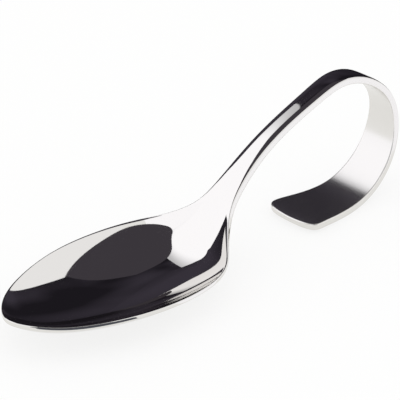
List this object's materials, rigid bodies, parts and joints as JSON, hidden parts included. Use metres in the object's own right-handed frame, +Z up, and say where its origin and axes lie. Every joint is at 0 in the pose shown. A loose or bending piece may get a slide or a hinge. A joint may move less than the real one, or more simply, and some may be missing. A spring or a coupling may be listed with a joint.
{
  "type": "amuse bouche spoon",
  "caption": "One-piece stainless steel tasting spoon with an egg-shaped bowl and a handle curled back under itself as a foot, so that it stands level with one bite in it.",
  "frame": {"origin": "middle of the outline, on the table the spoon stands on", "axes": "+X from the tip of the bowl towards the curl of the handle, +Y across the bowl to the spoon's left side seen from the curl end, +Z up"},
  "size_m": [0.1261, 0.039, 0.0359],
  "materials": {
    "steel": "mirror-polished stainless steel"
  },
  "bodies": {
    "root": {"spoon": "steel"}
  },
  "joints": []
}
